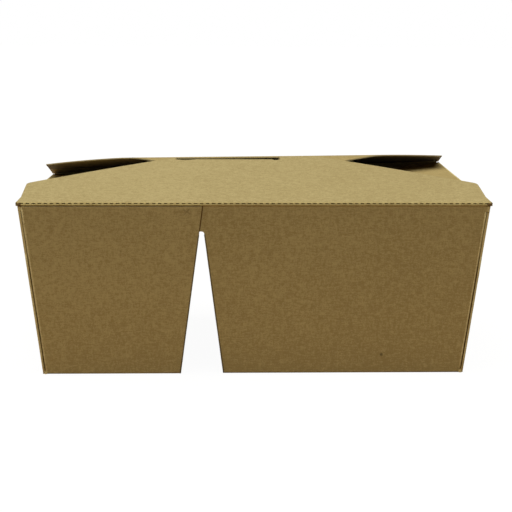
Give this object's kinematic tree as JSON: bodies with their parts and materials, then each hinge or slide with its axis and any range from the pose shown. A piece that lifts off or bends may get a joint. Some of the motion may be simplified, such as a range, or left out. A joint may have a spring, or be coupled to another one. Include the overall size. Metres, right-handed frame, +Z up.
{
  "type": "takeaway box",
  "caption": "Folded kraft board takeaway box with two tapered tubs side by side and a shared lid of tucked flaps; the front lid flap turns up on its perforated fold.",
  "frame": {"origin": "middle of the box's outline on the table that both tubs stand on", "axes": "+X along the length with the small tub on -X, -Y the front with the perforated lid fold, +Z up"},
  "size_m": [0.2, 0.1416, 0.0882],
  "materials": {
    "kraft_board": "matt uncoated brown kraft with a fine fibre grain"
  },
  "bodies": {
    "carton": {"carton": "kraft_board"},
    "front_flap": {"front_flap": "kraft_board"}
  },
  "joints": [
    {"name": "front_flap_hinge", "type": "hinge", "parent": "carton", "child": "front_flap", "pos_m": [0, -0.07, 0.075], "axis": [1, 0, 0], "range_deg": [0, 180]}
  ]
}
